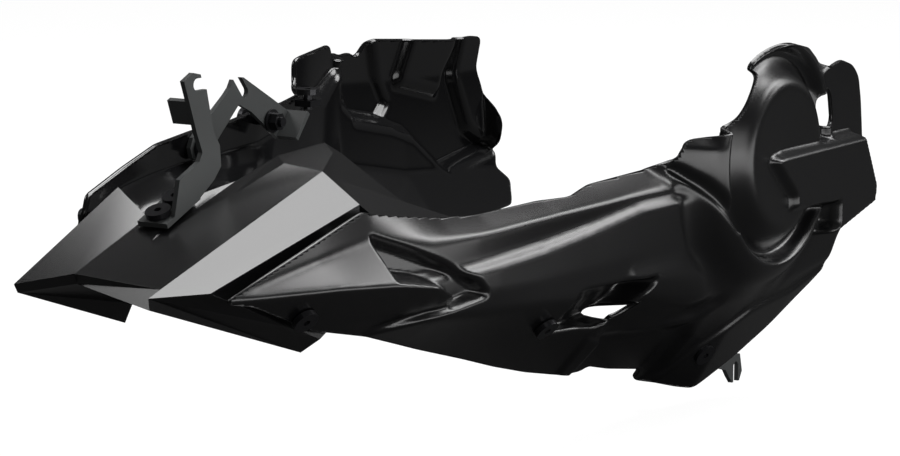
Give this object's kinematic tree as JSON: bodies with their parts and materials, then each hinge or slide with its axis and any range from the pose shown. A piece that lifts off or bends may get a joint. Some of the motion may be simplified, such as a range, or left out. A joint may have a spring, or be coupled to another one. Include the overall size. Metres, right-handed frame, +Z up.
{
  "type": "motorcycle belly pan",
  "caption": "Motorcycle belly pan with a twin-fanged nose, two side panels, a round engine-cover shroud on the left and three slotted steel brackets.",
  "frame": {"origin": "centre of the front bracket's slot, on the pan's centre plane", "axes": "+X to the rear of the motorcycle, +Y to its right, +Z up"},
  "size_m": [0.672, 0.303, 0.252],
  "materials": {
    "panel_plastic": "satin black moulding",
    "bracket_steel": "dark grey powder coat",
    "screw_steel": "black coated"
  },
  "bodies": {
    "root": {"nose_panel": "panel_plastic", "left_side_panel": "panel_plastic", "right_side_panel": "panel_plastic", "front_bracket": "bracket_steel", "fork_bracket": "bracket_steel", "rear_bracket": "bracket_steel", "seam_screws": "screw_steel", "body_screws": "screw_steel", "body_washers": "screw_steel", "body_nuts": "screw_steel", "heel_screws": "screw_steel", "heel_washers": "screw_steel", "heel_nuts": "screw_steel", "fork_bracket_screws": "screw_steel", "fork_bracket_washers": "screw_steel", "fork_bracket_nuts": "screw_steel", "front_bracket_screws": "screw_steel", "front_bracket_washers": "screw_steel", "front_bracket_nuts": "screw_steel", "lug_screw": "screw_steel", "lug_clip_nut": "screw_steel"}
  },
  "joints": []
}
